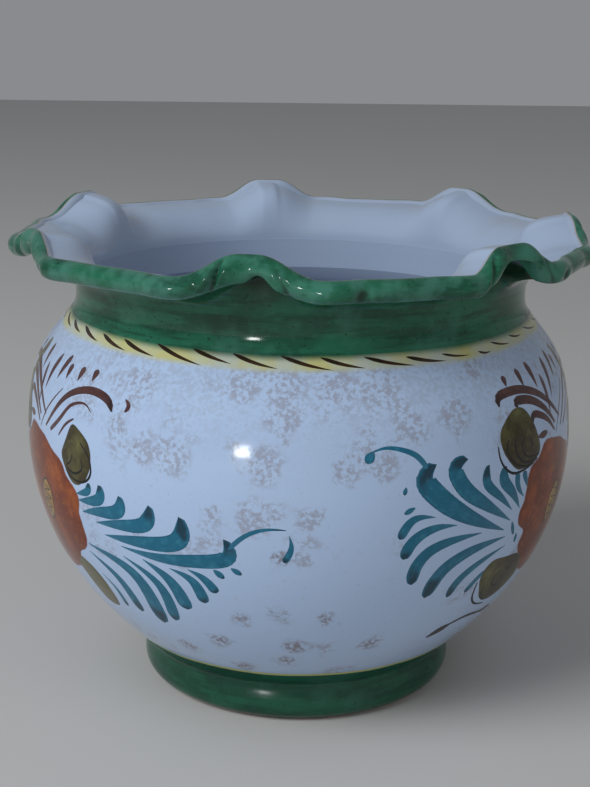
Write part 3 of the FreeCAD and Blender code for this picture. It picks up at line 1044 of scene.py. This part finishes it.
# Over each flower a crown of brown strokes fans out: short flicks in a row, and under them arcs that
# curl outwards and end in a blunt wet head.
crown_brown = (0.060, 0.022, 0.018, 1)
crown_pooled = (0.022, 0.011, 0.010, 1)
curled = (0.86, 0.35, 0.2, 0.4, 0.4)
crown_marks = [
    (flick, 3.2, [(16.3, 155.5), (16, 151)]),
    (flick, 3.2, [(11.8, 155), (11.3, 149.5)]),
    (flick, 3.0, [(7, 154.5), (6.8, 148.5)]),
    (flick, 3.2, [(5, 157), (3, 147)]),
    (flick, 3.2, [(0.5, 156), (-1.5, 141)]),
    (flick, 2.6, [(-4.3, 151), (-3.5, 134)]),
    (thread, 0.8, [(7, 145), (3, 137.5), (0, 130), (-1.2, 125.5)]),
    (curled, 3.2, [(1.8, 127.5), (5.5, 136), (9.3, 143), (13, 146.5), (17, 148), (20.8, 147.3), (23.2, 145),
                   (24, 142.5)]),
    (tendril, 1.9, [(4.2, 127), (8.8, 135), (11, 139.5), (13.7, 142), (16.5, 142.3), (18.4, 140)]),
    (thread, 1.2, [(8, 126.5), (10.7, 132.5), (13.2, 135.5)]),
    (blob, 1.9, [(26.8, 148), (27.9, 145.8), (27.2, 143.4)]),
    (curled, 3.6, [(1.2, 132), (-4, 140.5), (-8.7, 145.8), (-13.8, 148.8), (-18.6, 149.2), (-21.8, 147),
                   (-21.7, 144.8)]),
    (curled, 3.6, [(-1.7, 130.5), (-6.2, 138.5), (-10.6, 143.3), (-14.2, 145), (-16.5, 144.4), (-16.2, 142.5)]),
    (curled, 3.0, [(-2, 127.5), (-5, 133), (-8.4, 136.6), (-11.6, 137.2), (-11.8, 134.5)]),
    (blob, 2.9, [(-10, 128.3), (-5.8, 128.4)]),
    (flick, 2.8, [(-17.7, 155), (-17.9, 151)]),
    (flick, 3.0, [(-12.5, 156), (-12.2, 149)]),
    (flick, 3.3, [(-7.8, 157), (-7.2, 147)]),
]
crown_paint = paint("crown_brown", white, crown_brown, crown_pooled, streaks=0.50, pool_from=0.82, pool=0.9)
brushwork("crown_strokes", sprayed(crown_marks, 0.030, 28), crown_paint)


# Four olive leaves stand round each flower, two above and two below it, with a narrow bud on top. Three are
# filled blots. The fourth, low on the right, is one press of the full brush, and so is the leaning bud.
olive = (0.086, 0.080, 0.026, 1)
olive_deep = (0.034, 0.026, 0.009, 1)
olive_light = (0.140, 0.138, 0.050, 1)
leaf_edges = [
    [(13, 133.5), (11, 127), (9.5, 119.5), (11, 114), (14, 109), (18, 113), (19.5, 121.5), (18.5, 128),
     (15.5, 132)],
    [(-17, 143), (-21, 139), (-22.7, 134.5), (-22.3, 129), (-20.2, 122.5), (-17.8, 118.5), (-13, 118.8),
     (-9.5, 122), (-10.4, 131), (-12.7, 138.5), (-15, 142.5)],
    [(-11, 78.3), (-17, 80), (-21, 80), (-22.7, 75.5), (-21.4, 67), (-19, 60.5), (-14.5, 57), (-10, 58.5),
     (-7, 62), (-6, 66), (-7.5, 73)],
]
lower_leaf = [(slab, 14.0, [(8, 71.5), (12, 65), (13.5, 52.5)])]
leaf_marks = [blot_mark(edge, around, 0.055, 9, 64) for around in spray_middles for edge in leaf_edges]
leaf_paint = wash("leaf_olive", white, olive, olive_deep, olive_light, 0.15)
brushwork("olive_leaves", leaf_marks, leaf_paint)
stem_marks = sprayed(lower_leaf, 0.050)
for around, lean in zip(spray_middles, bud_leans):
    bud = [(lean, 157), (lean * 1.15, 142), (lean * 0.9, 124)]
    stem_marks.append(brush_mark(slab, 5.5, bud, around, 0.045))
stem_paint = paint("stem_olive", white, olive, olive_deep, streaks=0.25, pool_from=0.85, pool=0.6)
brushwork("olive_stems", stem_marks, stem_paint)


# The pen lines: nested hooks vein the leaves, and the flower's eye has an outline and a zigzag. Below each
# spray hangs a loose brown twig with a knot at both ends.
ink = (0.004, 0.004, 0.004, 1)
scribble = [
    (1, 104.5), (-0.5, 101.5), (2.5, 100), (-1, 98), (2.5, 96), (-1.5, 94), (2, 92), (-1, 90), (1.5, 88.5),
    (0, 86),
]
eye_outline = [tuple(point) for point in eye_edge] + [tuple(eye_edge[0])]
pen_lines = [
    (1.01, [(16, 127), (19, 121.5), (19.3, 115.5), (17, 111.5), (13.5, 111.5), (11.2, 113.8)]),
    (1.01, [(16.4, 120.5), (16.8, 117.5), (15.4, 114.5), (13.4, 113.8), (11.5, 115)]),
    (0.81, [(13.3, 121), (13, 118.5), (11.4, 116)]),
    (1.01, [(-23.3, 130), (-22.8, 125), (-21, 120), (-19.2, 117.8), (-15.7, 117.5), (-12, 118.8)]),
    (1.08, [(-20.2, 131.5), (-20.8, 128.5), (-20, 124.5), (-17.8, 120.5), (-15.2, 118.8), (-10.7, 120)]),
    (1.08, [(-18, 131.5), (-18.2, 127.5), (-17.3, 123.5), (-15, 120.2), (-10.7, 121)]),
    (1.01, [(-14.8, 130.5), (-16, 127.5), (-15.5, 124.3), (-13.3, 121.8), (-10, 121.8)]),
    (1.01, [(-13.2, 129.2), (-12, 126)]),
    (1.01, [(-23, 71), (-22.3, 63.5), (-19.5, 58), (-15, 55.5)]),
    (0.88, [(-19.8, 67), (-18.8, 61.5), (-16.5, 58)]),
    (0.88, [(-15.5, 73), (-17.3, 69), (-15.8, 65), (-12.5, 65.5)]),
    (0.81, [(-11.8, 75.5), (-13.5, 72.5), (-11.2, 71)]),
    (0.75, eye_outline),
    (0.60, scribble),
]
pen_marks = sprayed([(thread, width, knots) for width, knots in pen_lines], 0.085, 48)
ink_paint = paint("pen_ink", olive, ink, ink, streaks=0.0, pool=0.0, thin=0.0)
brushwork("pen_lines", pen_marks, ink_paint)
twig = [(thread, 2.2, [(-28.5, 45.5), (-24.5, 49), (-19, 50.8), (-13, 49.3), (-8, 48.8)])]
knots_of_twig = [
    (blob, 4.8, [(-29.8, 44.3), (-27, 47), (-24, 49.3)]),
    (blob, 4.2, [(-12.8, 49), (-10, 48.9), (-7.5, 48.6)]),
]
twig_marks = sprayed(twig, 0.030) + sprayed(knots_of_twig, 0.040)
twig_paint = paint("twig_brown", white, crown_pooled, crown_pooled, streaks=0.1, thin=0.0)
brushwork("twigs", twig_marks, twig_paint)
